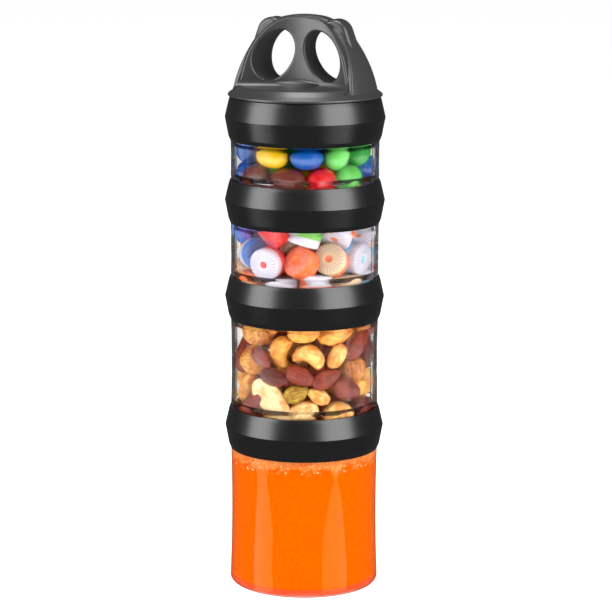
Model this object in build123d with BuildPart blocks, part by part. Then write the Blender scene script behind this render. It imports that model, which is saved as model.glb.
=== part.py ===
from build123d import *
from math import degrees, sqrt
import os

os.makedirs("parts", exist_ok=True)

# Stacking snack and formula dispenser: four clear jars of growing depth, each with a collar
# fixed on its neck. The base of every upper jar, and the lid, is a plug that drops into the
# collar below and twists under its ledges. All sizes are in millimetres, the origin is at
# the centre of the bottom jar's foot, and +Z is up.

# Overall sizes
tier_pitches = (83.7, 68.1, 49.9, 42.5)  # ground to first ridge, then ridge to ridge
jar_radius = 38.0
handle_rise = 35.6  # top of the lid base to the crown of the handle

# Collar, measured from its ridge
ridge_overhang = 3.0  # ridge beyond the jar wall
rim_rise = 10.2
rim_overhang = 0.4
bevel_height = 1.6
bevel_overhang = 1.0
rim_wall = 1.2
heel_drop = 9.5
heel_overhang = 1.2
foot_drop = 11.7
foot_overhang = 0.3
ridge_rounding = 0.5

# Jar walls
jar_wall = 1.9
waist_bend = 1020.0  # radius of the slight inward bow of every clear wall
neck_inset = 1.1  # jar wall to neck
neck_wall = 1.7
neck_rise = 0.95  # neck rim above the collar ridge
neck_fit = 0.03  # collar bore round the neck
throat_slope = 2.0  # height of the cone from the jar's bore to its neck
shoulder_rounding = 0.6
floor_rounding = 3.0

# Bottom jar's foot
base_floor = 3.4
base_flare = 0.4
base_rounding = 2.6
base_punt = 1.0
base_ring_width = 3.0

# Twist lock: lugs on the plug, ledges and stops in the collar's mouth
lock_count = 4
lug_width = 16.0
lug_height = 2.2
lug_clearance = 0.25
ledge_width = 26.0
ledge_depth = 1.3
ledge_height = 1.6
ledge_cover = 1.6  # collar rim to the top of the ledges
plug_clearance = 0.3
lock_clearance = 0.15
lock_turn = 45.0
stop_width = 2.0
stop_height = 2.6
stop_clearance = 0.4
root = 0.4  # how far lugs and ledges run into the wall that carries them
seat_gap = 0.2  # jar shoulder above the collar rim below
seat_rounding = 2.0

# Plug nose and its seal ring
nose_length = 1.3
nose_clearance = 0.3
nose_chamfer = 0.5
seal_height = 1.8
seal_width = 2.3
seal_clearance = 0.05
seal_fit = 0.1
seal_reach = 0.6  # collar mouth to the ring
plug_floor = 3.75
plug_punt = 1.5
plug_ring_width = 5.0

# Lid base
lid_gap = 0.5  # lid flange above the top collar
flange_overhang = 1.4
flange_height = 1.1
brow_rise = 2.9  # flange underside to the foot of the sloping bib
brow_inset = 1.0
bib_rise = 5.6
bib_inset = 4.0
bib_rounding = 1.5
bib_hollow = 1.2  # the lid's top dips this far inside the bib
hollow_inset = 9.0  # jar wall to the foot of the dip
flange_rounding = 0.44
lid_plate = 2.4
lid_plug_floor = 2.2

# Handle: a domed shell with two ears, and a dished face let in front and rear. Its outlines
# are points (half width, height above the lid base) drawn for one jar radius and one rise,
# and they stretch with both.
drawn_radius = 38.0
drawn_rise = 35.6
dome_setback = 0.2  # foot of the dome behind the inner edge of the brow
dome_waist = (32.2, 11.9)
dome_shoulder = (26.5, 22.4)
dome_tangents = ((-0.2, 1), (-1, 0))
cheek_depth = 15.4  # half thickness of the shell at the lid base
cheek_crown = 3.14  # and at its crown
cheek_rounding = 0.8
ear_centre = (17.3, 25.9)
ear_radius = 7.9
ear_tail_centre = (25.9, 18.5)  # a smaller disc that the ear runs down to
ear_tail_radius = 2.4
ear_thickness = 10.5
ear_rounding = 2.0
face_foot = 32.2  # half width of the face at the underside of the flange
face_waist = (29.8, 6.3)
face_shoulder = (26.2, 18.0)
face_brow = (16.0, 30.7)
face_tangents = ((-0.1, 1), (-1, 0))
face_crown_drop = 0.4
brow_share = 0.7  # part of an inset taken both ways on the slope of the brow
face_seam = 0.35
seam_depth = 1.4  # front of a face to the foot of the seam round it
face_thickness = 2.4
face_depth = 7.1  # half thickness of the handle at its centre line
dish_radius = 62.0
eye_outline = ((9.6, 27.9), (16.2, 25.9), (21.0, 21.4), (24.4, 13.1), (22.6, 5.8), (17.2, 2.4),
               (11.0, 4.4), (5.6, 10.3), (2.9, 18.5), (4.9, 25.2))
eye_rounding = 1.1
cove_radius = 3.6  # hollow sweep from each face down to the lid
cove_root = 0.6  # how far the cove runs into the face
lip_length = 26.0  # nose lip at the foot of each face
lip_radius = 2.3
lip_stand = 1.0  # axis of the lip beyond the dished surface
lip_height = 1.1

# Radii and heights that follow from the sizes above
neck_radius = jar_radius - neck_inset
neck_bore = neck_radius - neck_wall
mouth_radius = jar_radius + rim_overhang - rim_wall
ledge_radius = mouth_radius - ledge_depth
plug_radius = ledge_radius - plug_clearance
lug_radius = mouth_radius - lug_clearance
nose_radius = neck_bore - nose_clearance
seal_outer = mouth_radius - seal_reach
seal_inner = seal_outer - seal_width
groove_radius = seal_inner - seal_fit
groove_low = neck_rise
groove_high = groove_low + seal_height + 2 * seal_clearance
ledge_high = rim_rise - ledge_cover
ledge_low = ledge_high - ledge_height
lug_high = ledge_low - lock_clearance
nose_low = groove_low - nose_length
lock_angle = 360 / lock_count
rim_seat = rim_rise + seat_gap
ridges = [sum(tier_pitches[:tier + 1]) for tier in range(len(tier_pitches))]
tier_names = ("bottom", "lower", "middle", "top")


def lug_ring(ridge):
    """Ring of bayonet lugs that stands out of a plug's wall."""
    with BuildPart() as lugs:
        with BuildSketch(Plane.XY.offset(ridge + lug_high)):
            with PolarLocations(lug_radius, lock_count):
                Rectangle(4 * ledge_depth, lug_width)
            Circle(lug_radius, mode=Mode.INTERSECT)
            Circle(plug_radius - root, mode=Mode.SUBTRACT)
        extrude(amount=-lug_height)
    return lugs.part


# Collars: a double cone with a sharp ridge, ledges and stops inside the mouth
for tier, ridge in enumerate(ridges):
    with BuildPart() as collar:
        with BuildSketch(Plane.XZ):
            with BuildLine():
                Polyline(
                    (neck_radius + neck_fit, ridge - foot_drop),
                    (jar_radius + foot_overhang, ridge - foot_drop),
                    (jar_radius + heel_overhang, ridge - heel_drop),
                    (jar_radius + ridge_overhang, ridge),
                    (jar_radius + bevel_overhang, ridge + rim_rise - bevel_height),
                    (jar_radius + rim_overhang, ridge + rim_rise),
                    (mouth_radius, ridge + rim_rise),
                    (mouth_radius, ridge),
                    (neck_radius + neck_fit, ridge),
                    close=True,
                )
            make_face()
        revolve(axis=Axis.Z)
        ridge_edge = collar.edges().filter_by(GeomType.CIRCLE).sort_by(SortBy.RADIUS)[-1]
        fillet(ridge_edge, ridge_rounding)
        with BuildSketch(Plane.XY.offset(ridge + ledge_high)):
            with PolarLocations(mouth_radius, lock_count, lock_angle / 2):
                Rectangle(4 * ledge_depth, ledge_width)
            Circle(mouth_radius + root, mode=Mode.INTERSECT)
            Circle(ledge_radius, mode=Mode.SUBTRACT)
        extrude(amount=-ledge_height)
        lug_sweep = lug_width / 2 + stop_width / 2 + stop_clearance
        stop_angle = -lock_turn - degrees(lug_sweep / ledge_radius)
        with BuildSketch(Plane.XY.offset(ridge + ledge_low)):
            with PolarLocations(mouth_radius, lock_count, stop_angle):
                Rectangle(4 * ledge_depth, stop_width)
            Circle(mouth_radius + root, mode=Mode.INTERSECT)
            Circle(ledge_radius, mode=Mode.SUBTRACT)
        extrude(amount=-stop_height)
    collar.part.label = f"{tier_names[tier]}_collar"
    export_step(collar.part, f"parts/{collar.part.label}.step")

# Bottom jar: a flared foot on a standing ring, and a flat floor with a rounded corner
shoulder = ridges[0] - foot_drop
rim = ridges[0] + neck_rise
foot_radius = jar_radius + base_flare
with BuildPart() as bottom_jar:
    with BuildSketch(Plane.XZ):
        with BuildLine():
            standing = Polyline(
                (0, base_punt),
                (foot_radius - base_rounding - base_ring_width - base_punt, base_punt),
                (foot_radius - base_rounding - base_ring_width, 0),
                (foot_radius - base_rounding, 0),
            )
            corner = TangentArc(standing @ 1, (foot_radius, base_rounding), tangent=(1, 0))
            bow = RadiusArc(corner @ 1, (jar_radius, shoulder - shoulder_rounding), waist_bend)
            neck = Polyline(
                bow @ 1,
                (jar_radius - shoulder_rounding, shoulder),
                (neck_radius, shoulder),
                (neck_radius, rim),
                (neck_bore, rim),
                (neck_bore, shoulder - shoulder_rounding),
                (jar_radius - jar_wall, shoulder - shoulder_rounding - throat_slope),
            )
            inner_foot = (jar_radius - jar_wall, base_floor + floor_rounding)
            bore = RadiusArc(neck @ 1, inner_foot, -waist_bend)
            floor_corner = TangentArc(
                bore @ 1, (jar_radius - jar_wall - floor_rounding, base_floor), tangent=(0, -1)
            )
            Polyline(floor_corner @ 1, (0, base_floor), (0, base_punt))
        make_face()
    revolve(axis=Axis.Z)
bottom_jar.part.label = "bottom_jar"
export_step(bottom_jar.part, "parts/bottom_jar.step")

# Upper jars: the same wall and neck over a plug with a ringed groove and a nose
plug_bore = plug_radius - jar_wall
for tier in range(1, len(ridges)):
    below = ridges[tier - 1]
    shoulder = ridges[tier] - foot_drop
    rim = ridges[tier] + neck_rise
    seat = below + rim_seat
    floor = below + nose_low + plug_floor
    with BuildPart() as jar:
        with BuildSketch(Plane.XZ):
            with BuildLine():
                plug = Polyline(
                    (0, below + nose_low + plug_punt),
                    (nose_radius - plug_ring_width, below + nose_low + plug_punt),
                    (nose_radius - plug_ring_width, below + nose_low),
                    (nose_radius - nose_chamfer, below + nose_low),
                    (nose_radius, below + nose_low + nose_chamfer),
                    (nose_radius, below + groove_low),
                    (groove_radius, below + groove_low),
                    (groove_radius, below + groove_high),
                    (plug_radius, below + groove_high),
                    (plug_radius, seat),
                    (jar_radius - seat_rounding, seat),
                )
                corner = TangentArc(plug @ 1, (jar_radius, seat + seat_rounding), tangent=(1, 0))
                bow = RadiusArc(corner @ 1, (jar_radius, shoulder - shoulder_rounding), waist_bend)
                neck = Polyline(
                    bow @ 1,
                    (jar_radius - shoulder_rounding, shoulder),
                    (neck_radius, shoulder),
                    (neck_radius, rim),
                    (neck_bore, rim),
                    (neck_bore, shoulder - shoulder_rounding),
                    (jar_radius - jar_wall, shoulder - shoulder_rounding - throat_slope),
                )
                inner_foot = (jar_radius - jar_wall, seat + seat_rounding + jar_wall)
                bore = RadiusArc(neck @ 1, inner_foot, -waist_bend)
                step = Polyline(
                    bore @ 1, (plug_bore, seat), (plug_bore, floor + floor_rounding)
                )
                floor_corner = TangentArc(
                    step @ 1, (plug_bore - floor_rounding, floor), tangent=(0, -1)
                )
                Polyline(floor_corner @ 1, (0, floor), plug @ 0)
            make_face()
        revolve(axis=Axis.Z)
        add(lug_ring(below))
    jar.part.label = f"{tier_names[tier]}_jar"
    export_step(jar.part, f"parts/{jar.part.label}.step")

# Lid plug: a closed cup with the same groove, nose and lugs
top_ridge = ridges[-1]
flange_low = top_ridge + rim_rise + lid_gap
lid_cup_floor = top_ridge + nose_low + lid_plug_floor
with BuildPart() as lid_plug:
    with BuildSketch(Plane.XZ):
        with BuildLine():
            Polyline(
                (0, top_ridge + nose_low),
                (nose_radius - nose_chamfer, top_ridge + nose_low),
                (nose_radius, top_ridge + nose_low + nose_chamfer),
                (nose_radius, top_ridge + groove_low),
                (groove_radius, top_ridge + groove_low),
                (groove_radius, top_ridge + groove_high),
                (plug_radius, top_ridge + groove_high),
                (plug_radius, flange_low),
                (plug_bore, flange_low),
                (plug_bore, top_ridge + groove_high + lid_plug_floor),
                (groove_radius - jar_wall, lid_cup_floor),
                (0, lid_cup_floor),
                close=True,
            )
        make_face()
    revolve(axis=Axis.Z)
    add(lug_ring(top_ridge))
lid_plug.part.label = "lid_plug"
export_step(lid_plug.part, "parts/lid_plug.step")

# Seal rings: one on every plug, resting on the rim of the jar below
for tier, ridge in enumerate(ridges):
    with BuildPart() as seal:
        with BuildSketch(Plane.XY.offset(ridge + groove_low + seal_clearance)):
            Circle(seal_outer)
            Circle(seal_inner, mode=Mode.SUBTRACT)
        extrude(amount=seal_height)
    seal.part.label = f"{tier_names[tier]}_seal"
    export_step(seal.part, f"parts/{seal.part.label}.step")

# Lid base: flange, brow and sloping bib round a shallow dip, hollow underneath
brow_high = flange_low + brow_rise
lid_top = flange_low + bib_rise
lid_floor = lid_top - bib_hollow
with BuildPart() as lid_block:
    with BuildSketch(Plane.XZ):
        with BuildLine():
            Polyline(
                (0, flange_low),
                (jar_radius + flange_overhang, flange_low),
                (jar_radius + flange_overhang, flange_low + flange_height),
                (jar_radius - brow_inset, brow_high),
                (jar_radius - bib_inset, lid_top),
                (jar_radius - hollow_inset, lid_floor),
                (0, lid_floor),
                close=True,
            )
        make_face()
    revolve(axis=Axis.Z)
    rims = lid_block.edges().filter_by(GeomType.CIRCLE)
    fillet(rims.sort_by(SortBy.RADIUS)[-2:], flange_rounding)
    fillet(rims.sort_by(Axis.Z)[-1], bib_rounding)
with BuildPart() as lid_base:
    add(lid_block.part)
    with BuildSketch(Plane.XY.offset(flange_low)):
        Circle(plug_bore)
    extrude(amount=lid_floor - lid_plate - flange_low, mode=Mode.SUBTRACT)
lid_base.part.label = "lid_base"
export_step(lid_base.part, "parts/lid_base.step")

# Handle solids shared by the shell and the two faces
crown = lid_top + handle_rise
reach = jar_radius + ridge_overhang


def stretched(point):
    """A point of the drawn handle outline, at this handle's own width and height."""
    return (point[0] * jar_radius / drawn_radius, lid_top + point[1] * handle_rise / drawn_rise)


def dish_depth(half_width, centre_depth):
    """How far the dished surface stands from the middle plane at this half width."""
    return centre_depth + dish_radius - sqrt(dish_radius**2 - half_width**2)


def arch_block(inset):
    """Prism through the handle with the arched outline of a face, held in by the inset."""
    foot = (stretched((face_foot, 0))[0] - inset, flange_low)
    waist = Vector(*stretched(face_waist)) - Vector(inset, 0)
    shoulder = Vector(*stretched(face_shoulder)) - Vector(inset, 0)
    brow = Vector(*stretched(face_brow)) - Vector(inset, inset) * brow_share
    top = (0, crown - face_crown_drop - inset)
    with BuildPart() as arched:
        with BuildSketch(Plane.XZ):
            with BuildLine():
                arch = Spline(foot, waist, shoulder, brow, top, tangents=face_tangents)
                Polyline(arch @ 0, (0, flange_low), arch @ 1)
            make_face()
            mirror(about=Plane.YZ)
        extrude(amount=reach, both=True)
    return arched.part


def face_block(inset, depth):
    """Arched block between the two dished surfaces, with the eye holes through it."""
    edge = stretched((face_foot, 0))[0]
    edge_depth = dish_depth(edge, depth)
    with BuildPart() as block:
        add(arch_block(inset))
        with BuildSketch(Plane.XY.offset(flange_low)):
            with BuildLine():
                rear = ThreePointArc((-edge, edge_depth), (0, depth), (edge, edge_depth))
                front = ThreePointArc((edge, -edge_depth), (0, -depth), (-edge, -edge_depth))
                Line(rear @ 1, front @ 0)
                Line(front @ 1, rear @ 0)
            make_face()
        extrude(amount=bib_rise + handle_rise, mode=Mode.INTERSECT)
        with BuildSketch(Plane.XZ):
            for mirrored in (1, -1):
                with BuildLine():
                    Spline(*[stretched((mirrored * x, z)) for x, z in eye_outline], periodic=True)
                make_face()
        extrude(amount=reach, both=True, mode=Mode.SUBTRACT)
    return block.part


def cove_block(side):
    """Ring with a hollow profile round the axis of one dished surface, inside the arch."""
    dish_axis = Axis((0, side * (face_depth + dish_radius), 0), (0, 0, 1))
    with BuildPart() as cove:
        with BuildSketch(Plane.YZ):
            with BuildLine():
                hollow = RadiusArc(
                    (side * face_depth, lid_floor + cove_radius),
                    (side * (face_depth + cove_radius), lid_floor),
                    -side * cove_radius,
                )
                Polyline(
                    hollow @ 1,
                    (side * (face_depth + cove_radius), lid_floor - cove_root),
                    (side * (face_depth - cove_root), lid_floor - cove_root),
                    (side * (face_depth - cove_root), lid_floor + cove_radius),
                    hollow @ 0,
                )
            make_face()
        revolve(axis=dish_axis)
        add(arch_block(face_seam), mode=Mode.INTERSECT)
    return cove.part


def on_dish(edge):
    """True for an edge of a face's dished outer surface, apart from its foot on the lid."""
    place = edge @ 0.5
    return place.Z > lid_top and abs(abs(place.Y) - dish_depth(place.X, face_depth)) < face_seam / 9


# Ears: two rounded discs on the shoulders of the dome, each with a tail that runs down it
with BuildPart() as ears:
    for mirrored in (1, -1):
        with BuildSketch(Plane.XZ):
            with Locations(stretched((mirrored * ear_centre[0], ear_centre[1]))):
                Circle(ear_radius)
            with Locations(stretched((mirrored * ear_tail_centre[0], ear_tail_centre[1]))):
                Circle(ear_tail_radius)
            make_hull()
        extrude(amount=ear_thickness / 2, both=True)
    fillet(ears.edges().filter_by(Axis.Y, reverse=True), ear_rounding)

# Handle shell: the dome between two leaning planes, its ears, and the core behind the faces
face_core = face_block(0, face_depth - face_thickness)
dome_foot = jar_radius - brow_inset - dome_setback
with BuildPart() as handle_shell:
    with BuildSketch(Plane.XZ):
        with BuildLine():
            dome = Spline(
                (dome_foot, brow_high),
                stretched(dome_waist),
                stretched(dome_shoulder),
                (0, crown),
                tangents=dome_tangents,
            )
            Polyline(dome @ 1, (0, flange_low), (dome_foot, flange_low), dome @ 0)
        make_face()
    revolve(axis=Axis.Z)
    cheek_foot = cheek_depth + (cheek_depth - cheek_crown) * bib_rise / handle_rise
    with BuildSketch(Plane.YZ):
        with BuildLine():
            Polyline(
                (-cheek_foot, flange_low),
                (cheek_foot, flange_low),
                (cheek_crown, crown),
                (-cheek_crown, crown),
                close=True,
            )
        make_face()
    extrude(amount=reach, both=True, mode=Mode.INTERSECT)
    dome_edges = handle_shell.edges().filter_by(GeomType.BSPLINE)
    fillet(dome_edges.filter_by(lambda edge: edge.length > handle_rise), cheek_rounding)
    add(ears.part)
    add(arch_block(0), mode=Mode.SUBTRACT)
    add(face_core)
    add(lid_block.part, mode=Mode.SUBTRACT)
handle_shell.part.label = "handle_shell"
export_step(handle_shell.part, "parts/handle_shell.step")

# Faces: dished plates let into the front and the rear, each with a nose lip at its foot
lip_level = lid_top + lip_height
for name, side, plane in (("front_face", -1, Plane.XZ), ("rear_face", 1, Plane.ZX)):
    with BuildPart() as face:
        add(face_block(face_seam, face_depth))
        split(bisect_by=plane, keep=Keep.TOP)
        fillet(face.edges().filter_by(on_dish), eye_rounding)
        add(split(face_block(0, face_depth - seam_depth), bisect_by=plane, mode=Mode.PRIVATE))
        add(face_core, mode=Mode.SUBTRACT)
        lip_depth = side * (face_depth + lip_stand)
        with BuildSketch(Plane.XZ.offset(-lip_depth)):
            with BuildLine():
                lip = ThreePointArc(
                    (-lip_length / 2, lip_level),
                    (0, lip_level + lip_radius),
                    (lip_length / 2, lip_level),
                )
                Line(lip @ 1, lip @ 0)
            make_face()
        revolve(axis=Axis((0, lip_depth, lip_level), (1, 0, 0)))
        with BuildSketch(Plane.XY.offset(lip_level)):
            with BuildLine():
                skirt = ThreePointArc(
                    (-lip_length / 2, lip_depth),
                    (0, lip_depth + side * lip_radius),
                    (lip_length / 2, lip_depth),
                )
                Polyline(skirt @ 1, (0, side * seam_depth), skirt @ 0)
            make_face()
        extrude(amount=lid_floor - cove_root - lip_level)
        add(cove_block(side))
        add(face_core, mode=Mode.SUBTRACT)
        add(lid_block.part, mode=Mode.SUBTRACT)
    face.part.label = name
    export_step(face.part, f"parts/{name}.step")
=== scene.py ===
import math
import bpy
import numpy as np
from mathutils import Euler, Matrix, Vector, noise


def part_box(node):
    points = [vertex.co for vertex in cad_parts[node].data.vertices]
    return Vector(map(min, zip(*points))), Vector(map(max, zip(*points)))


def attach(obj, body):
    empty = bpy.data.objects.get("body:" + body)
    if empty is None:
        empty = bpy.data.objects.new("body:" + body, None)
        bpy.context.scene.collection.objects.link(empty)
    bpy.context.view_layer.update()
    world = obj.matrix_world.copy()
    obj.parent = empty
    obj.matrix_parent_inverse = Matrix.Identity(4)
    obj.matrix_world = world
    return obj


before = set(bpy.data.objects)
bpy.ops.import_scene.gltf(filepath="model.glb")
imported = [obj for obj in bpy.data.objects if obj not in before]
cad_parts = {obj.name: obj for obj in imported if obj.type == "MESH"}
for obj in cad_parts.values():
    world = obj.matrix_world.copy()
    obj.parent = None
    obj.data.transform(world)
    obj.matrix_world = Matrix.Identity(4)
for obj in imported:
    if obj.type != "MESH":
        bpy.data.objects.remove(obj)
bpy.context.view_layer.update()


# Studio. A white sweep for a floor and a white surround. Two tall soft boxes at the camera's left
# and right draw one soft upright band each down every collar, and a small one lights the top.
MM = 0.001
scene = bpy.context.scene
scene.view_settings.view_transform = "Standard"


def placed(name, data, location=(0, 0, 0), rotation=(0, 0, 0)):
    """Adds an object to the scene at a place and a turn."""
    thing = bpy.data.objects.new(name, data)
    thing.location = location
    thing.rotation_euler = rotation
    scene.collection.objects.link(thing)
    return thing


def soft_box(name, azimuth, elevation, size, power):
    """A rectangular lamp that faces the middle of the stack and can't be seen through a wall."""
    distance = 1.5
    target = Vector((0, 0, 0.15))
    lamp = bpy.data.lights.new(name, "AREA")
    lamp.shape = "RECTANGLE"
    lamp.size, lamp.size_y = size
    lamp.energy = power
    across = math.radians(azimuth)
    up = math.radians(elevation)
    aim = Vector((math.sin(across) * math.cos(up), -math.cos(across) * math.cos(up), math.sin(up)))
    box = placed(name, lamp, aim * distance + target, aim.to_track_quat("Z", "Y").to_euler())
    box.visible_transmission = False


view_azimuth = 25.0
camera_distance = 1.312
camera_height = 0.4012
camera_pitch = 11.02
camera_roll = 0.2
side_step = 0.75 * MM
camera = bpy.data.cameras.new("camera")
camera.lens = 152.2
camera.sensor_width = 36.0
camera.clip_end = 30.0
heading = math.radians(view_azimuth)
camera_spot = (
    math.sin(heading) * camera_distance + math.cos(heading) * side_step,
    -math.cos(heading) * camera_distance + math.sin(heading) * side_step,
    camera_height,
)
level = Euler((math.radians(90 - camera_pitch), 0, heading)).to_quaternion()
rolled = level @ Euler((0, 0, math.radians(camera_roll))).to_quaternion()
scene.camera = placed("camera", camera, camera_spot, rolled.to_euler())

soft_box("left_box", view_azimuth - 67, 11, size=(1.05, 1.75), power=22)
soft_box("right_box", view_azimuth + 50, 11, size=(1.3, 1.75), power=27)
soft_box("top_box", view_azimuth - 20, 80, size=(0.8, 0.8), power=14)


class Shade:
    """A socket that can be used in plain arithmetic, which adds the Math nodes it needs."""

    def __init__(self, tree, socket=None):
        self.tree = tree
        self.socket = socket

    def node(self, kind, settings=None, **sockets):
        """Adds one node: its settings first, then the values or links of its sockets.

        A ramp's stops are (place, colour) pairs. A socket that has no name of its own is given
        by its number after an underscore.
        """
        made = self.tree.nodes.new(kind)
        for key, value in (settings or {}).items():
            if key != "stops":
                setattr(made, key, value)
                continue
            for element, (place, colour) in zip(made.color_ramp.elements, value):
                element.position = place
                element.color = (*colour, 1)
        for key, value in sockets.items():
            slot = made.inputs[int(key[1:]) if key[0] == "_" else key.replace("_", " ")]
            if isinstance(value, Shade):
                self.tree.links.new(value.socket, slot)
            else:
                slot.default_value = value
        return Shade(self.tree, next(iter(made.outputs), None))

    def output(self, key):
        """Another output of the node that this socket is on."""
        return Shade(self.tree, self.socket.node.outputs[key])

    def maths(self, operation, other=0.0):
        """One Math node on this value and another."""
        return self.node("ShaderNodeMath", {"operation": operation}, _0=self, _1=other)

    def __add__(self, other):
        return self.maths("ADD", other)

    def __mul__(self, other):
        return self.maths("MULTIPLY", other)

    def __rsub__(self, other):
        return self.node("ShaderNodeMath", {"operation": "SUBTRACT"}, _0=other, _1=self)

    __radd__ = __add__
    __rmul__ = __mul__

    def vector(self, operation, other):
        """One Vector Math node on this vector and another."""
        return self.node("ShaderNodeVectorMath", {"operation": operation}, _0=self, _1=other)

    def part(self, axis):
        """The X, Y or Z of this vector."""
        return self.node("ShaderNodeSeparateXYZ", Vector=self).output(axis)

    def speckle(self, scale, detail):
        """Noise over this place, from 0 to 1."""
        return self.node("ShaderNodeTexNoise", Vector=self, Scale=scale, Detail=detail)

    def ramp(self, *stops):
        """A colour ramp between two (place, colour) stops."""
        return self.node("ShaderNodeValToRGB", {"stops": stops}, _0=self)

    def bump(self, strength, distance):
        """A surface normal that this height moves."""
        return self.node("ShaderNodeBump", Strength=strength, Distance=distance, Height=self)

    def mixed(self, share, other, way="MIX"):
        """This colour mixed with another by a share."""
        other = other if isinstance(other, Shade) else (*other, 1)
        settings = {"data_type": "RGBA", "blend_type": way}
        return self.node("ShaderNodeMix", settings, _0=share, _6=self, _7=other).output(2)


def material(name, **sockets):
    """A new Principled material with its constants set; returns it, its shader and its place."""
    made = bpy.data.materials.new(name)
    made.use_nodes = True
    shader = made.node_tree.nodes["Principled BSDF"]
    for key, value in sockets.items():
        shader.inputs[key.replace("_", " ")].default_value = value
    place = Shade(made.node_tree).node("ShaderNodeTexCoord").output("Object")
    return made, shader, place


def feed(node, **sockets):
    """Links varying values into a node."""
    for key, value in sockets.items():
        value.tree.links.new(value.socket, node.inputs[key.replace("_", " ")])


def stage_sheet(name, corners, finish):
    """A four-cornered sheet of paper or cloth for the stage."""
    mesh = bpy.data.meshes.new(name)
    mesh.from_pydata(corners, [], [(0, 1, 2, 3)])
    mesh.materials.append(finish)
    return mesh


paper, _, _ = material(
    "white_paper", Base_Color=(0.85, 0.85, 0.85, 1), Roughness=0.9, Emission_Strength=0.75
)
floor_reach = 6.0
floor_corners = [
    (-floor_reach, -floor_reach, 0),
    (floor_reach, -floor_reach, 0),
    (floor_reach, floor_reach, 0),
    (-floor_reach, floor_reach, 0),
]
floor = placed("floor", stage_sheet("floor", floor_corners, paper))
floor.visible_glossy = False

# Two black flags behind the stack, which only light through the clear walls can see. They draw
# the dark line down each edge of a jar.
flag_cloth, _, _ = material("flag_cloth", Base_Color=(0.01, 0.01, 0.01, 1), Roughness=1.0)
flag_reach = 0.3
flag_height = 0.4
flag_corners = [
    (-flag_reach, 0, 0),
    (flag_reach, 0, 0),
    (flag_reach, 0, flag_height),
    (-flag_reach, 0, flag_height),
]
flag_aside = 0.375
flag_behind = 0.16
for side in (-1, 1):
    spot = Euler((0, 0, heading)).to_matrix() @ Vector((side * flag_aside, flag_behind, 0))
    sheet = stage_sheet("flag", flag_corners, flag_cloth)
    flag = placed("flag", sheet, spot, (0, 0, heading))
    flag.visible_shadow = False
    flag.visible_diffuse = False
    flag.visible_glossy = False
    flag.visible_camera = False

surround = bpy.data.worlds.new("surround")
surround.use_nodes = True
scene.world = surround
backdrop = surround.node_tree.nodes["Background"]
backdrop.inputs["Color"].default_value = (1, 1, 1, 1)
# The surround looks white, but is dim to gloss and to matt surfaces, which the lamps light.
sky_strength = 1.03
gloss_dimming = 0.96
matt_dimming = 0.76
sight = Shade(surround.node_tree).node("ShaderNodeLightPath")
mirrored = sight.output("Glossy Depth").maths("MINIMUM", 1.0) * gloss_dimming
bounced = sight.output("Diffuse Depth").maths("MINIMUM", 1.0) * matt_dimming
feed(backdrop, Strength=sky_strength - mirrored.maths("MAXIMUM", bounced))


# Collars. Injection-moulded black polypropylene, each one pressed on the neck of its jar. The
# mould is satin on the upper cone and the rim, and more polished under the ridge.
def dress(node, finish):
    """Gives a CAD node one material."""
    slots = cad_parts[node].data.materials
    slots.clear()
    slots.append(finish)


collar_plastic, shader, place = material(
    "collar_plastic", Base_Color=(0.005, 0.005, 0.0055, 1), Specular_IOR_Level=1.0
)
grain = place.speckle(2600.0, 2.0)
smears = place.speckle(60.0, 3.0)
facing = place.node("ShaderNodeNewGeometry").output("Normal").part("Z")
satin = facing.maths("GREATER_THAN", -0.1)
feed(shader, Normal=grain.bump(0.06, 0.0002), Roughness=smears * 0.06 + satin * 0.07 + 0.2)
tiers = ("bottom", "lower", "middle", "top")
for tier in tiers:
    dress(tier + "_collar", collar_plastic)


# Lid and handle. Charcoal polypropylene with a finer, duller grain than the collars, in five
# mouldings that are snapped and welded together.
handle_plastic, shader, place = material(
    "handle_plastic", Base_Color=(0.035, 0.035, 0.036, 1), Specular_IOR_Level=0.9
)
grain = place.speckle(1700.0, 3.0)
smears = place.speckle(45.0, 3.0)
feed(shader, Normal=grain.bump(0.1, 0.0003), Roughness=smears * 0.08 + 0.3)
for name in ("handle_shell", "front_face", "rear_face", "lid_base", "lid_plug"):
    dress(name, handle_plastic)


# Seal rings. Translucent white silicone, moulded in one piece and stretched into the groove of
# every plug.
silicone, shader, place = material("silicone", Base_Color=(0.72, 0.73, 0.72, 1))
dust = place.speckle(900.0, 2.0)
feed(shader, Roughness=dust * 0.2 + 0.4, Normal=dust.bump(0.1, 0.0002))
for tier in tiers:
    dress(tier + "_seal", silicone)


# Jars. Clear copolyester, moulded and polished inside and out. Lamps shine straight through the
# walls, so that what is inside is lit as brightly as it would be on the table.
def clear_plastic(name, thinning, sheen):
    """A clear wall; the thinning is the part of what is behind it that isn't bent."""
    finish, shader, place = material(
        name,
        Base_Color=(0.975, 0.985, 0.982, 1),
        IOR=1.5,
        Specular_Tint=(*sheen, 1),
        Transmission_Weight=1.0,
    )
    feed(shader, Roughness=place.speckle(35.0, 2.0) * 0.004)
    path = place.node("ShaderNodeLightPath")
    lamp_ray = path.output("Is Shadow Ray").maths("MAXIMUM", path.output("Is Diffuse Ray"))
    glazed = place.node(
        "ShaderNodeMixShader",
        _0=lamp_ray * (1 - thinning) + thinning,
        _1=Shade(place.tree, shader.outputs[0]),
        _2=place.node("ShaderNodeBsdfTransparent"),
    )
    feed(place.tree.nodes["Material Output"], Surface=glazed)
    return finish


deep_wall = clear_plastic("clear_plastic_deep", thinning=0.04, sheen=(0.34, 0.34, 0.1))
thin_wall = clear_plastic("clear_plastic_thin", thinning=0.08, sheen=(0.05, 0.05, 0.05))
for tier in tiers:
    dress(tier + "_jar", deep_wall if tier == "bottom" else thin_wall)


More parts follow.
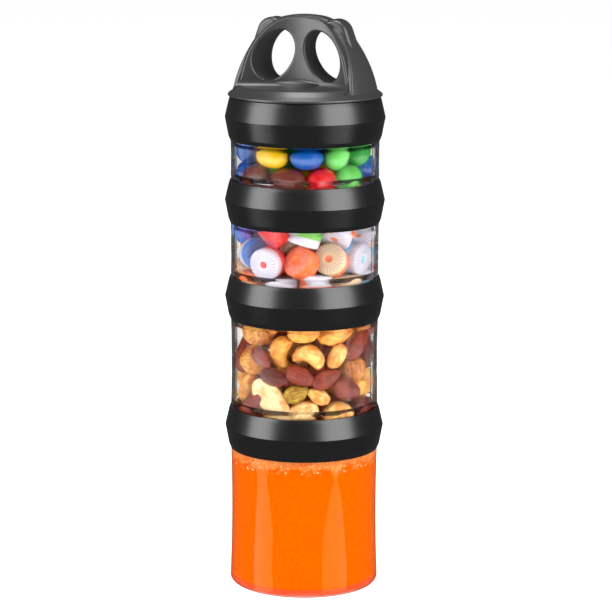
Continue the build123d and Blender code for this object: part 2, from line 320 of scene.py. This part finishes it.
# Sweets in the top jar. Peanuts in a thick glossy sugar shell, poured in and left to settle.
# The ones against the wall are set out one by one, as (across, height, tilt, half length, shell).
def bright(red, green, blue):
    """A display colour, 0 to 255, as linear light."""
    return tuple((part / 255) ** 2.2 for part in (red, green, blue))


def laid(across, depth, tilt, pitch=0.0, yaw=0.0):
    """Turn of a piece at the wall: its length runs along the wall and is tilted up to the right."""
    bearing = math.asin(max(-0.98, min(0.98, across / depth)))
    wall = Euler((0, 0, heading + bearing)).to_quaternion()
    lean = Euler((math.radians(pitch), -math.radians(tilt), math.radians(yaw)))
    return wall @ lean.to_quaternion()


class Heap:
    """Loose pieces in a jar, each with a centre, a turn, three half sizes and two colours."""

    def __init__(self, seed, squareness=2.0):
        self.draw = np.random.default_rng(seed)
        self.squareness = squareness
        self.pieces = []

    def add(self, centre, turn, halves, tint, core=None, kind="", loose=1.0):
        """Adds a piece; a loose one gives way to the others when the heap settles."""
        self.pieces.append({
            "centre": centre, "turn": turn, "halves": halves, "tint": tint,
            "core": core or tint, "kind": kind, "loose": loose,
        })

    def put(self, across, height, depth, turn, halves, tint, core=None, kind=""):
        """Adds a piece by how far it is to the right and how far out from the jar's axis."""
        back = -math.sqrt(max(depth**2 - across**2, 0.0))
        x = across * math.cos(heading) - back * math.sin(heading)
        y = across * math.sin(heading) + back * math.cos(heading)
        self.add((x, y, height), turn, halves, tint, core, kind, loose=0.03)

    def fill(self, count, radius, low, high, halves, tints, core=None, kind=""):
        """Adds pieces at random behind the ones that were set out one by one."""
        front = 8.0
        for _ in range(count):
            spread = radius * math.sqrt(self.draw.random())
            angle = self.draw.random() * math.tau
            while spread * math.sin(heading - angle) > front:
                angle = self.draw.random() * math.tau
            rise = low + (high - low) * self.draw.random()
            centre = (math.cos(angle) * spread, math.sin(angle) * spread, rise)
            turn = Euler(self.draw.random(3) * math.tau).to_quaternion()
            size = [half * (0.93 + 0.14 * self.draw.random()) for half in halves]
            tint = tints[int(self.draw.integers(len(tints)))]
            self.add(centre, turn, size, tint, core, kind)

    def settle(self, radius, low, high, steps, sink=0.12):
        """Pushes the pieces apart until they only touch, inside the wall, floor and lid."""
        centres = np.array([piece["centre"] for piece in self.pieces], float)
        turns = np.array([np.array(piece["turn"].to_matrix()) for piece in self.pieces])
        halves = np.array([piece["halves"] for piece in self.pieces], float)
        loose = np.array([piece["loose"] for piece in self.pieces], float)
        share = loose[:, None] / (loose[:, None] + loose[None, :])
        power = self.squareness
        tiny = 1e-6
        for _ in range(steps):
            gap = centres[:, None] - centres[None, :]
            distance = np.linalg.norm(gap, axis=2) + tiny
            aim = gap / distance[..., None]
            local = np.abs(np.einsum("iab,ija->ijb", turns, aim)) / halves[:, None]
            girth = np.hypot(local[..., 1], local[..., 2])
            reach = (local[..., 0] ** power + girth**power + 1e-9) ** (-1 / power)
            overlap = np.clip(reach + reach.T - distance, 0, None)
            np.fill_diagonal(overlap, 0)
            centres += 0.5 * np.einsum("ij,ijk->ik", overlap * share, aim)
            centres[:, 2] -= sink * loose * (loose > 0.5)
            across = np.linalg.norm(centres[:, :2], axis=1) + tiny
            outward = np.column_stack([centres[:, :2] / across[:, None], np.zeros(len(centres))])
            local = np.einsum("iab,ia->ib", turns, outward)
            side = np.linalg.norm(local * halves, axis=1)
            centres[:, :2] *= np.minimum(1, (radius - side) / across)[:, None]
            upright = np.linalg.norm(turns[:, 2, :] * halves, axis=1)
            ceiling = np.maximum(high, low + 2 * upright) - upright
            centres[:, 2] = np.clip(centres[:, 2], low + upright, ceiling)
        for piece, centre in zip(self.pieces, centres):
            piece["centre"] = tuple(centre)

    def points(self, name, kind=""):
        """The pieces of one kind as bare points that carry their turn, size and colours."""
        chosen = [piece for piece in self.pieces if piece["kind"] == kind]
        cloud = bpy.data.meshes.new(name)
        cloud.from_pydata([tuple(Vector(piece["centre"]) * MM) for piece in chosen], [], [])
        values = {
            "turn": [tuple(piece["turn"].to_euler()) for piece in chosen],
            "size": [tuple(half * MM for half in piece["halves"]) for piece in chosen],
            "tint": [piece["tint"] for piece in chosen],
            "core": [piece["core"] for piece in chosen],
        }
        for key, rows in values.items():
            layer = cloud.attributes.new(key, "FLOAT_VECTOR", "POINT")
            layer.data.foreach_set("vector", np.array(rows, float).ravel())
        return cloud


def scatter_tree():
    """Geometry Nodes that set a copy of a piece on every point, by its turn and size."""
    tree = bpy.data.node_groups.new("scatter", "GeometryNodeTree")
    sockets = (("Points", "INPUT", "NodeSocketGeometry"), ("Piece", "INPUT", "NodeSocketObject"),
               ("Finish", "INPUT", "NodeSocketMaterial"), ("Heap", "OUTPUT", "NodeSocketGeometry"))
    for name, side, kind in sockets:
        tree.interface.new_socket(name, in_out=side, socket_type=kind)
    given = Shade(tree).node("NodeGroupInput")
    piece = given.node("GeometryNodeObjectInfo", Object=given.output("Piece")).output("Geometry")
    turn, size = (
        given.node("GeometryNodeInputNamedAttribute", {"data_type": "FLOAT_VECTOR"}, Name=key)
        for key in ("turn", "size")
    )
    copies = given.node("GeometryNodeInstanceOnPoints", Points=given.output("Points"),
                        Instance=piece, Rotation=turn, Scale=size)
    solid = given.node("GeometryNodeRealizeInstances", Geometry=copies)
    coated = given.node("GeometryNodeSetMaterial", Geometry=solid, Material=given.output("Finish"))
    given.node("NodeGroupOutput", Heap=coated)
    return tree


scatter = scatter_tree()


def heaped(name, cloud, piece, finish, body):
    """Sets a copy of one piece on each point of a cloud and leaves one plain mesh on a body."""
    template = placed(name + "_piece", piece)
    grown = placed(name + "_points", cloud)
    modifier = grown.modifiers.new("scatter", "NODES")
    modifier.node_group = scatter
    inputs = {item.name: item.identifier for item in scatter.interface.items_tree}
    modifier[inputs["Piece"]] = template
    modifier[inputs["Finish"]] = finish
    bpy.context.view_layer.update()
    solid = grown.evaluated_get(bpy.context.evaluated_depsgraph_get())
    mesh = bpy.data.meshes.new_from_object(solid)
    mesh.name = name
    for leftover in (grown, template):
        bpy.data.objects.remove(leftover)
    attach(placed(name, mesh), body)


def solid_mesh(name, points, rings, around):
    """A closed mesh from two end points with rings between; keeps its drawn shape as a vector."""
    faces = []
    last = len(points) - 1
    for step in range(around):
        after = (step + 1) % around
        faces.append((0, 1 + step, 1 + after))
        faces.append((last, last - around + after, last - around + step))
        for row in range(rings - 1):
            low = 1 + row * around
            faces.append((low + step, low + around + step, low + around + after, low + after))
    mesh = bpy.data.meshes.new(name)
    mesh.from_pydata(points, [], faces)
    mesh.shade_smooth()
    drawn = mesh.attributes.new("spot", "FLOAT_VECTOR", "POINT")
    drawn.data.foreach_set("vector", np.array(points, float).ravel())
    return mesh


def rounded_mesh(name, shape, around=28, along=18, lump=0.0):
    """A unit ball with its poles on the x axis, whose points are moved by a shape function."""
    points = [Vector(shape(1, 0, 0))]
    for polar in np.linspace(0, math.pi, along + 1)[1:-1]:
        girth = math.sin(polar)
        for turn in np.arange(around) * math.tau / around:
            drawn = shape(math.cos(polar), girth * math.cos(turn), girth * math.sin(turn))
            points.append(Vector(drawn))
    points.append(Vector(shape(-1, 0, 0)))
    uneven = [tuple(point * (1 + lump * noise.noise(point * 2.6))) for point in points]
    return solid_mesh(name, uneven, along - 1, around)


def attribute(place, name):
    """A vector that every piece of a heap carries."""
    return place.node("ShaderNodeAttribute", {"attribute_name": name}).output("Vector")


def peanut_sweet(x, y, z):
    """Sugar shell: an egg with a faint waist where the two halves of the nut meet."""
    waist = 1 - 0.05 * math.exp(-(((x - 0.1) / 0.3) ** 2)) + 0.06 * x
    return (x, y * waist, z * waist)


blue = bright(2, 88, 176)
yellow = bright(240, 188, 6)
lime = bright(104, 208, 92)
green = bright(44, 160, 56)
brown = bright(104, 44, 32)
red = bright(214, 12, 24)
orange = bright(232, 72, 22)
jar_wall = 1.9
rim_rise = 10.2
jar_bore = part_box("top_jar")[1].x / MM - jar_wall
ridges = {tier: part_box(tier + "_collar")[1].z / MM - rim_rise for tier in tiers}
wall_sweets = (
    (-30.2, 226.4, 78, 7.4, blue),
    (-17, 225.8, -6, 8.9, yellow),
    (0.8, 226.2, 2, 8.4, blue),
    (16.2, 225.8, 62, 7.2, lime),
    (27.6, 226.6, 38, 7.4, green),
    (-32.4, 216.6, 30, 7.2, blue),
    (-25.2, 216.4, 14, 8.8, brown),
    (-8.3, 216.4, -3, 9.3, brown),
    (8.2, 216.2, 18, 7.6, red),
    (22.6, 216.2, 16, 8.2, lime),
    (31.4, 218.4, 55, 7.2, blue),
)
sweets = Heap(seed=5)
sweet_depth = jar_bore - 7.4
draw_in = 0.93  # the clear wall spreads what is seen through it, so pieces stand nearer the axis
for across, height, tilt, length, shell in wall_sweets:
    turn = laid(across, sweet_depth, tilt)
    sweets.put(across * draw_in, height, sweet_depth, turn, (length, 6.5, 6.3), shell)
sweets.fill(
    30,
    radius=jar_bore - 9,
    low=ridges["middle"] + 9,
    high=ridges["middle"] + 31,
    halves=(8.4, 6.4, 6.3),
    tints=(orange, red, blue, yellow, green, brown, orange),
)
sweets.settle(jar_bore - 0.5, low=ridges["middle"] + 3.8, high=ridges["top"] - 2.0, steps=140)
sugar_shell, shader, place = material(
    "sugar_shell", Roughness=0.2, Specular_IOR_Level=0.6, Coat_Weight=1.0, Coat_Roughness=0.12
)
worn = place.speckle(1400.0, 3.0).ramp((0.35, (0.62, 0.58, 0.58)), (0.6, (1, 1, 1)))
feed(
    shader,
    Base_Color=attribute(place, "tint").mixed(0.6, worn, "MULTIPLY"),
    Normal=place.speckle(240.0, 2.0).bump(0.15, 0.0006),
)
heaped("contents_sweets", sweets.points("sweets"), rounded_mesh("sweet", peanut_sweet),
       sugar_shell, "top_unit")


# Ring mints in the middle jar. Pressed sugar tablets in two layers, ribbed on both faces with a
# dimple in the middle. The ones at the wall are set out one by one, as (across, height, tilt, yaw,
# front layer, back layer), with more poured in behind.
def mint_points(around=48):
    """Ends and rings of a tablet on the x axis: dimple, ribbed face, rounded rim, and back."""
    end = 0.80
    face = ((end, 0.20), (0.97, 0.27), (1.0, 0.36), (1.0, 0.84), (0.93, 0.95), (0.75, 1.0))
    seam = ((0.06, 1.0), (0.0, 0.985), (-0.06, 1.0))
    profile = face + seam + tuple((-x, girth) for x, girth in reversed(face))
    points = [(end, 0, 0)]
    for x, girth in profile:
        for step in range(around):
            turn = step * math.tau / around
            rib = 0.05 * (step % 2) * (abs(x) > 0.9) * (girth > 0.3)
            points.append((x * (1 - rib), girth * math.cos(turn), girth * math.sin(turn)))
    points.append((-end, 0, 0))
    return points, len(profile), around


mint_orange = bright(246, 112, 50)
mint_red = bright(228, 50, 40)
mint_blue = bright(70, 120, 205)
mint_sky = bright(110, 190, 236)
mint_violet = bright(112, 88, 190)
mint_green = bright(120, 190, 80)
cream = bright(226, 192, 150)
chalk = bright(210, 205, 216)
wall_mints = (
    (-27.5, 176, 8, 8, mint_blue, chalk),
    (-13.2, 175.4, 6, 84, mint_red, chalk),
    (0.4, 174.8, -28, 44, mint_orange, mint_orange),
    (9.6, 175.0, -24, 52, mint_orange, cream),
    (22.4, 175.4, 4, 98, mint_sky, chalk),
    (33.4, 170.6, 60, 20, mint_sky, chalk),
    (-30.4, 185.4, 18, 50, mint_violet, mint_blue),
    (-14, 184.8, 24, 62, mint_red, mint_red),
    (1.6, 184.4, 72, 12, mint_green, chalk),
    (16.4, 184.4, 40, 30, mint_orange, chalk),
    (30, 184.6, 12, 14, mint_orange, chalk),
    (-24.5, 163.0, 88, 0, mint_orange, cream),
    (-10.6, 162.6, 94, 0, chalk, chalk),
    (4.6, 162.8, 86, 0, chalk, mint_orange),
    (19, 162.6, 92, 0, cream, chalk),
    (31, 164.0, 82, 0, chalk, mint_sky),
)
mints = Heap(seed=11, squareness=5.0)
mint_depth = jar_bore - 7.6
for across, height, tilt, yaw, front, back in wall_mints:
    turn = laid(across, mint_depth, tilt, yaw=yaw)
    mints.put(across * draw_in, height, mint_depth, turn, (4.7, 8.2, 8.2), front, back)
mints.fill(
    30,
    radius=jar_bore - 9,
    low=ridges["lower"] + 8,
    high=ridges["middle"] - 8,
    halves=(4.7, 8.1, 8.1),
    tints=(mint_orange, mint_red, mint_orange, mint_red, mint_orange),
    core=cream,
)
mints.settle(jar_bore - 0.8, low=ridges["lower"] + 3.9, high=ridges["middle"] - 2.6, steps=220)
pressed_sugar, shader, place = material(
    "pressed_sugar", Roughness=0.42, Specular_IOR_Level=0.4, Subsurface_Weight=0.15,
    Subsurface_Scale=0.001,
)
spot = attribute(place, "spot")
tint = attribute(place, "tint")
along = spot.part("X")
beside = spot.part("Y")
above = spot.part("Z")
from_axis = beside.maths("POWER", 2.0) + above.maths("POWER", 2.0)
front_layer = (along * 9.0 + 0.5).maths("MINIMUM", 1.0).maths("MAXIMUM", 0.0)
layers = attribute(place, "core").mixed(front_layer, tint)
dotted = layers.mixed(from_axis.maths("LESS_THAN", 0.052), tint)
# Painted shade: the grooves between the ribs on each face are darkened towards grey-violet.
groove = (beside.maths("ARCTAN2", above) * 26.0).maths("SINE").maths("GREATER_THAN", 0.62)
on_face = along.maths("ABSOLUTE").maths("GREATER_THAN", 0.9)
off_dimple = from_axis.maths("GREATER_THAN", 0.16)
ribbed = dotted.mixed(groove * (on_face * off_dimple) * 0.6, bright(120, 110, 150))
mottle = place.speckle(420.0, 4.0).ramp((0.45, (0, 0, 0)), (0.8, (0.25, 0.25, 0.25)))
grit = place.speckle(3200.0, 2.0)
feed(shader, Base_Color=ribbed.mixed(mottle, chalk), Normal=grit.bump(0.2, 0.0002))
points, rings, around = mint_points()
heaped("contents_mints", mints.points("mints"), solid_mesh("mint", points, rings, around),
       pressed_sugar, "middle_unit")


# Nuts in the lower jar. Whole and broken hazelnuts, almonds, cashews, peanuts and one pistachio,
# roasted, each kind in its own skin. The ones at the wall are set out one by one, as (kind, across,
# height, tilt, scale, colour).
def hazelnut(x, y, z):
    """A ball with a soft point and a blunt scar."""
    point = 0.16 * max(0.0, -x - 0.72)
    return (x * (1 - 0.06 * (x > 0.8)) - point, y * (1 - 0.08 * x), z * (1 - 0.08 * x))


def almond(x, y, z):
    """A flat drop with lengthwise ridges."""
    girth = (1 - 0.22 * x) * (1 + 0.02 * math.cos(9 * math.atan2(z, y)))
    return (x + 0.08 * max(0.0, x - 0.6), y * girth, z * girth)


def cashew(x, y, z):
    """A bent kernel, thicker at one end."""
    bend = x * 1.28
    girth = 0.36 * (1 + 0.18 * x)
    radius = 0.7 + y * girth
    out = (radius * math.cos(bend) - 0.6) / 0.52
    return (radius * math.sin(bend) / 1.05, out, z * girth / 0.42)


def peanut(x, y, z):
    """Two long halves that meet in a groove."""
    groove = 1 - 0.12 * math.exp(-((y / 0.16) ** 2))
    return (x, y * (1 + 0.08 * x), z * groove * (1 + 0.08 * x))


def half_almond(x, y, z):
    """A split almond: flat on the face that looks out."""
    girth = 1 - 0.22 * x
    return (x, y * girth, z * girth if z < 0 else z * 0.22 * girth)


nut_sizes = {
    "hazelnuts": (8.0, 7.7, 7.7),
    "almonds": (11.5, 6.6, 4.6),
    "cashews": (11.5, 7.0, 5.2),
    "peanuts": (8.6, 5.3, 5.0),
    "blanched": (13.6, 6.9, 3.6),
    "pistachios": (7.0, 4.6, 4.2),
}
tan = bright(220, 148, 78)
golden = bright(246, 184, 88)
pale = bright(252, 206, 126)
skin = bright(164, 62, 24)
dark_skin = bright(122, 40, 16)
ivory = bright(248, 212, 152)
wall_nuts = (
    ("hazelnuts", -25, 133.6, 30, 1.06, golden),
    ("cashews", -13.6, 125.6, 78, 0.98, golden),
    ("cashews", -12.4, 138.2, 24, 0.8, tan),
    ("peanuts", -0.4, 134, 8, 0.95, golden),
    ("peanuts", 17.4, 132.4, 18, 1.22, golden),
    ("cashews", 2.6, 124, -20, 0.94, pale),
    ("peanuts", 15, 121.6, 60, 0.8, pale),
    ("hazelnuts", 26, 117.4, 70, 0.9, tan),
    ("hazelnuts", 31.4, 134, 50, 0.9, skin),
    ("almonds", 25.4, 126.6, 30, 0.9, skin),
    ("almonds", 31, 120.6, -62, 0.9, dark_skin),
    ("almonds", -1.3, 114.4, -25, 0.72, skin),
    ("almonds", 12.4, 115, 24, 0.7, skin),
    ("almonds", -13, 115.4, -12, 0.7, dark_skin),
    ("hazelnuts", -26, 116.6, 10, 1.0, golden),
    ("almonds", -21.6, 122.4, -34, 0.6, skin),
    ("blanched", -14.6, 106.8, -42, 1.0, bright(255, 226, 176)),
    ("pistachios", 0.4, 109.4, 20, 0.95, bright(196, 176, 60)),
    ("peanuts", 9.4, 107.8, -30, 0.72, pale),
    ("almonds", 22.4, 108.6, -22, 0.85, skin),
    ("peanuts", 32, 109.6, 66, 0.9, pale),
    ("cashews", 15.6, 98.4, -6, 1.02, pale),
    ("peanuts", -1.6, 98, 14, 0.95, ivory),
    ("almonds", -28, 99.6, 40, 0.92, skin),
    ("peanuts", -33, 104, 80, 0.9, pale),
    ("peanuts", 30, 140, 10, 0.9, tan),
    ("almonds", 28.4, 97.4, -14, 0.85, dark_skin),
)
nuts = Heap(seed=23)
nut_draw_in = 0.95
for kind, across, height, tilt, scale, shell in wall_nuts:
    size = tuple(half * scale for half in nut_sizes[kind])
    depth = jar_bore - 0.8 - size[2]
    turn = laid(across, depth, tilt, pitch=0 if kind == "hazelnuts" else 90)
    nuts.put(across * nut_draw_in, height, depth, turn, size, shell, kind=kind)
for kind, count, tints in (
    ("hazelnuts", 12, (tan, skin)),
    ("almonds", 26, (skin, dark_skin, skin)),
    ("cashews", 16, (golden, pale, tan)),
    ("peanuts", 26, (golden, pale, ivory)),
):
    nuts.fill(
        count,
        radius=jar_bore - 7,
        low=ridges["bottom"] + 9,
        high=ridges["lower"] - 9,
        halves=nut_sizes[kind],
        tints=tints,
        kind=kind,
    )
nuts.settle(jar_bore - 0.5, low=ridges["bottom"] + 4.0, high=ridges["lower"] - 2.6, steps=240)


def skin_of(name, stretch, scale, dark, depth, rough, coat):
    """A nut's surface: blotches and streaks on its own colour, drawn out along its length."""
    finish, shader, place = material(
        name, Roughness=rough, Specular_IOR_Level=0.4, Coat_Weight=coat, Coat_Roughness=0.2,
        Subsurface_Weight=0.06, Subsurface_Scale=0.001,
    )
    pulled = attribute(place, "spot").vector("MULTIPLY", stretch)
    streaks = pulled.vector("ADD", place.vector("MULTIPLY", (60, 60, 60))).speckle(scale, 5.0)
    tone = streaks.ramp((0.42, dark), (0.6, (1, 1, 1)))
    warmth = place.speckle(170.0, 3.0).ramp((0.38, (0.8, 0.52, 0.3)), (0.6, (1.1, 1.08, 1.06)))
    own = attribute(place, "tint").mixed(1.0, tone, "MULTIPLY")
    feed(
        shader,
        Base_Color=own.mixed(1.0, warmth, "MULTIPLY"),
        Normal=streaks.bump(depth, 0.0015),
    )
    return finish


# Each kind: shape, lumps, then its streaks' stretch, scale, tone and depth, roughness and coat.
for kind, shape, lump, stretch, scale, dark, depth, rough, coat in (
    ("hazelnuts", hazelnut, 0.1, (1.2, 5, 5), 1.6, (0.62, 0.45, 0.32), 0.3, 0.38, 0.2),
    ("almonds", almond, 0.06, (1.0, 7, 7), 1.5, (0.4, 0.26, 0.2), 0.6, 0.36, 0.6),
    ("cashews", cashew, 0.1, (2, 3, 3), 1.2, (0.86, 0.68, 0.45), 0.25, 0.36, 0.25),
    ("peanuts", peanut, 0.1, (2, 3, 3), 1.4, (0.84, 0.66, 0.44), 0.25, 0.36, 0.25),
    ("blanched", half_almond, 0.02, (1, 4, 4), 1.0, (0.9, 0.78, 0.6), 0.2, 0.4, 0.2),
    ("pistachios", almond, 0.1, (1, 5, 5), 1.6, (0.5, 0.3, 0.25), 0.3, 0.45, 0.1),
):
    finish = skin_of(kind.rstrip("s") + "_skin", stretch, scale, dark, depth, rough, coat)
    nut = rounded_mesh(kind, shape, around=34, along=22, lump=lump)
    heaped("contents_" + kind, nuts.points(kind, kind), nut, finish, "lower_unit")


# Juice in the bottom jar. Orange juice with pulp, filled up into the neck so that it wets the
# bowed wall, and the small pale bubbles that gather at the wall under the collar.
def turned(name, profile, around=96):
    """A solid of revolution from a profile of (radius, height) that starts and ends on the axis."""
    points = [(0, 0, profile[0][1] * MM)]
    for radius, height in profile[1:-1]:
        for step in range(around):
            turn = step * math.tau / around
            points.append((radius * math.cos(turn) * MM, radius * math.sin(turn) * MM, height * MM))
    points.append((0, 0, profile[-1][1] * MM))
    return solid_mesh(name, points, len(profile) - 2, around)


wetting = 0.06
juice_radius = jar_bore + wetting
jar_floor = 3.4
floor_rounding = 3.0
bow = 0.49
bow_centre = 37.9
bow_reach = 31.5
wall_top = 69.4
neck_foot = 71.4
neck_step = 0.9
fill_height = 74.0
profile = [(0, jar_floor - wetting)]
for step in range(7):
    lean = step * math.pi / 12
    inset = floor_rounding * (1 - math.sin(lean))
    profile.append((juice_radius - inset, jar_floor + floor_rounding * (1 - math.cos(lean))))
for height in range(10, 69, 6):
    pinch = bow * (1 - ((height - bow_centre) / bow_reach) ** 2)
    profile.append((juice_radius - pinch, height))
profile += [(juice_radius, wall_top), (juice_radius - neck_step, neck_foot),
            (juice_radius - neck_step, fill_height), (0, fill_height)]
juice_mesh = turned("contents_juice", profile)
juice, shader, place = material("juice", Roughness=0.5, Specular_IOR_Level=0.0)
pulp = place.speckle(420.0, 6.0)
foam_foot = 66.0
above_foot = place.part("Z") * (1 / MM) + -foam_foot
foam = above_foot * 0.11 + (pulp * 1.6 + -0.8)
pressed = pulp.ramp((0.3, bright(214, 84, 0)), (0.7, bright(222, 94, 0)))
share = foam.maths("MAXIMUM", 0.0).maths("MINIMUM", 0.5)
feed(shader, Base_Color=pressed.mixed(share, bright(240, 160, 92)))
juice_mesh.materials.append(juice)
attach(placed("contents_juice", juice_mesh), "bottom_unit")

froth = Heap(seed=31)
for _ in range(520):
    angle = froth.draw.random() * math.tau
    height = neck_foot - 6.8 * froth.draw.random() ** 1.8
    size = 0.16 + 0.42 * froth.draw.random() ** 3
    edge = juice_radius - size * 0.7 - 0.45 * max(0.0, height - wall_top)
    centre = (edge * math.cos(angle), edge * math.sin(angle), height)
    froth.add(centre, Euler().to_quaternion(), (size, size, size), chalk)
bubble, shader, place = material("bubble", Roughness=0.15, Specular_IOR_Level=0.5)
film = place.speckle(300.0, 2.0)
feed(shader, Base_Color=film.ramp((0.3, bright(252, 170, 90)), (0.7, bright(255, 214, 160))))
round_bubble = rounded_mesh("bubble", lambda x, y, z: (x, y, z), around=8, along=6)
heaped("contents_froth", froth.points("froth"), round_bubble, bubble, "bottom_unit")
